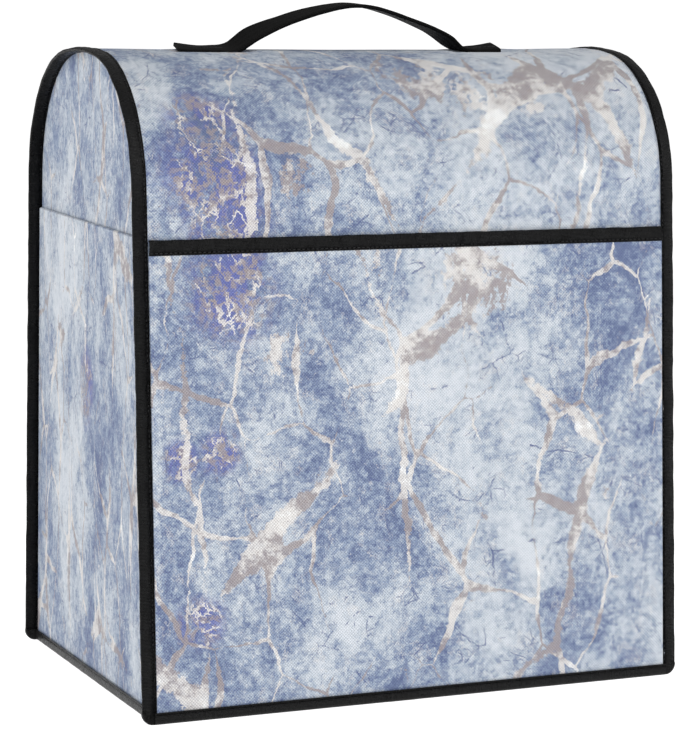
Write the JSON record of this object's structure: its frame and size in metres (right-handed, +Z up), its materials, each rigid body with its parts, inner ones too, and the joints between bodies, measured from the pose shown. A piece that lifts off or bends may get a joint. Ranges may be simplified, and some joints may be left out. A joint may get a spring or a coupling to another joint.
{
  "type": "stand mixer dust cover",
  "caption": "Arched fabric dust cover for a stand mixer, with taped edges, a webbing carry handle on the ridge, and flat front and side pockets.",
  "frame": {"origin": "centre of the bottom, on the plane that the hem rests on", "axes": "+X along the ridge towards the right-hand end, +Y from the pocket front towards the back, +Z up"},
  "size_m": [0.39, 0.264, 0.46],
  "materials": {
    "printed_cloth": "matte",
    "felt": "matte",
    "lining_cloth": "matte",
    "binding_tape": "satin",
    "webbing": "matte",
    "thread": "satin"
  },
  "bodies": {
    "shell": {"edge_binding_left": "binding_tape", "edge_binding_right": "binding_tape", "edge_stitching_left": "thread", "edge_stitching_right": "thread", "handle_tab_left": "webbing", "handle_tab_right": "webbing", "handle_tab_stitching": "thread", "hem_binding": "binding_tape", "hem_stitching": "thread", "main_interlining": "felt", "main_lining": "lining_cloth", "main_panel": "printed_cloth", "side_interlining_left": "felt", "side_interlining_right": "felt", "side_lining_left": "lining_cloth", "side_lining_right": "lining_cloth", "side_panel_left": "printed_cloth", "side_panel_right": "printed_cloth"},
    "front_pocket": {"front_pocket_panel": "printed_cloth", "front_pocket_binding": "binding_tape", "pocket_binding_stitching": "thread"},
    "side_pocket_left": {"side_pocket_left": "printed_cloth"},
    "side_pocket_right": {"side_pocket_right": "printed_cloth"},
    "handle": {"handle_strap": "webbing"}
  },
  "joints": [
    {"name": "handle_lean", "type": "hinge", "parent": "shell", "child": "handle", "pos_m": [0, 0, 0.4294], "axis": [1, 0, 0], "range_deg": [-40, 40], "stiffness_Nm_per_rad": 0.02},
    {"name": "front_pocket_mouth", "type": "hinge", "parent": "shell", "child": "front_pocket", "pos_m": [0, -0.13162, 0.0083], "axis": [1, 0, 0], "range_deg": [0, 5], "stiffness_Nm_per_rad": 0.3},
    {"name": "side_pocket_left_mouth", "type": "hinge", "parent": "shell", "child": "side_pocket_left", "pos_m": [-0.18595, 0, 0.0083], "axis": [0, -1, 0], "range_deg": [0, 4], "stiffness_Nm_per_rad": 0.3},
    {"name": "side_pocket_right_mouth", "type": "hinge", "parent": "shell", "child": "side_pocket_right", "pos_m": [0.18595, 0, 0.0083], "axis": [0, 1, 0], "range_deg": [0, 4], "stiffness_Nm_per_rad": 0.3}
  ]
}
